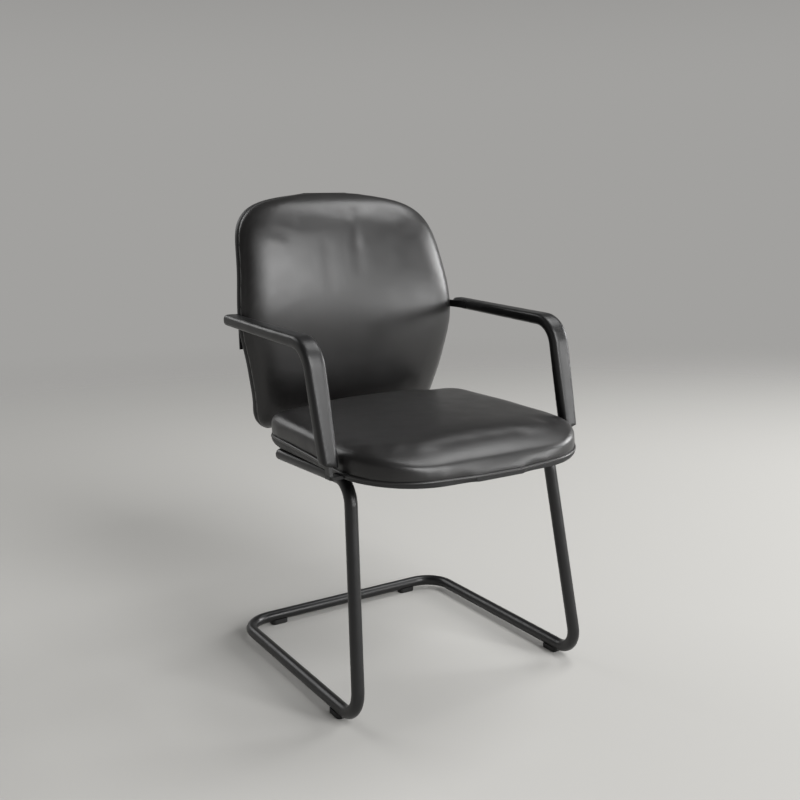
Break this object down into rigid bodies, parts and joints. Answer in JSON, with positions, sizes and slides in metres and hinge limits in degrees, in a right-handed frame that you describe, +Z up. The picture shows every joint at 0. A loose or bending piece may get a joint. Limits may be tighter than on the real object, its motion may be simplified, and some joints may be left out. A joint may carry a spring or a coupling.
{
  "type": "visitor chair",
  "caption": "Cantilever visitor chair: bent steel tube frame, crowned leather seat with piped rim, curved leather back and moulded arms that join seat and back.",
  "frame": {"origin": "floor level under the middle of the chair's overall box", "axes": "+X to the right seen from the front, +Y to the rear, +Z up"},
  "size_m": [0.5414, 0.6032, 0.8774],
  "materials": {
    "frame_paint": "satin black powder coat on steel tube",
    "bracket_paint": "matt black paint on flat steel",
    "arm_plastic": "satin black moulded polypropylene",
    "shell_plastic": "fine grained black moulded polypropylene",
    "glide_plastic": "black nylon",
    "leather": "smooth black leather with a satin sheen",
    "piping": "black leather piping",
    "foam": "moulded polyurethane foam",
    "plywood": "moulded beech plywood",
    "zinc_steel": "zinc plated steel",
    "screw_steel": "black oxide steel"
  },
  "bodies": {
    "root": {"cantilever_frame": "frame_paint", "front_crossbar": "frame_paint", "rear_crossbar": "frame_paint", "back_upright": "bracket_paint", "left_arm_foot": "bracket_paint", "right_arm_foot": "bracket_paint", "left_arm_back_bracket": "bracket_paint", "right_arm_back_bracket": "bracket_paint", "left_arm_core": "bracket_paint", "right_arm_core": "bracket_paint", "left_armrest": "arm_plastic", "right_armrest": "arm_plastic", "seat_under_cover": "shell_plastic", "back_shell": "shell_plastic", "front_left_glide": "glide_plastic", "front_right_glide": "glide_plastic", "rear_left_glide": "glide_plastic", "rear_right_glide": "glide_plastic", "left_rail_plug": "glide_plastic", "right_rail_plug": "glide_plastic", "seat_leather": "leather", "back_leather": "leather", "seat_piping": "piping", "seat_foam": "foam", "back_foam": "foam", "seat_pan": "plywood", "back_board": "plywood", "seat_bolts": "zinc_steel", "seat_t_nuts": "zinc_steel", "back_bolts": "zinc_steel", "back_t_nuts": "zinc_steel", "seat_cover_screws": "screw_steel", "back_shell_screws": "screw_steel", "arm_bracket_screws": "screw_steel"}
  },
  "joints": []
}
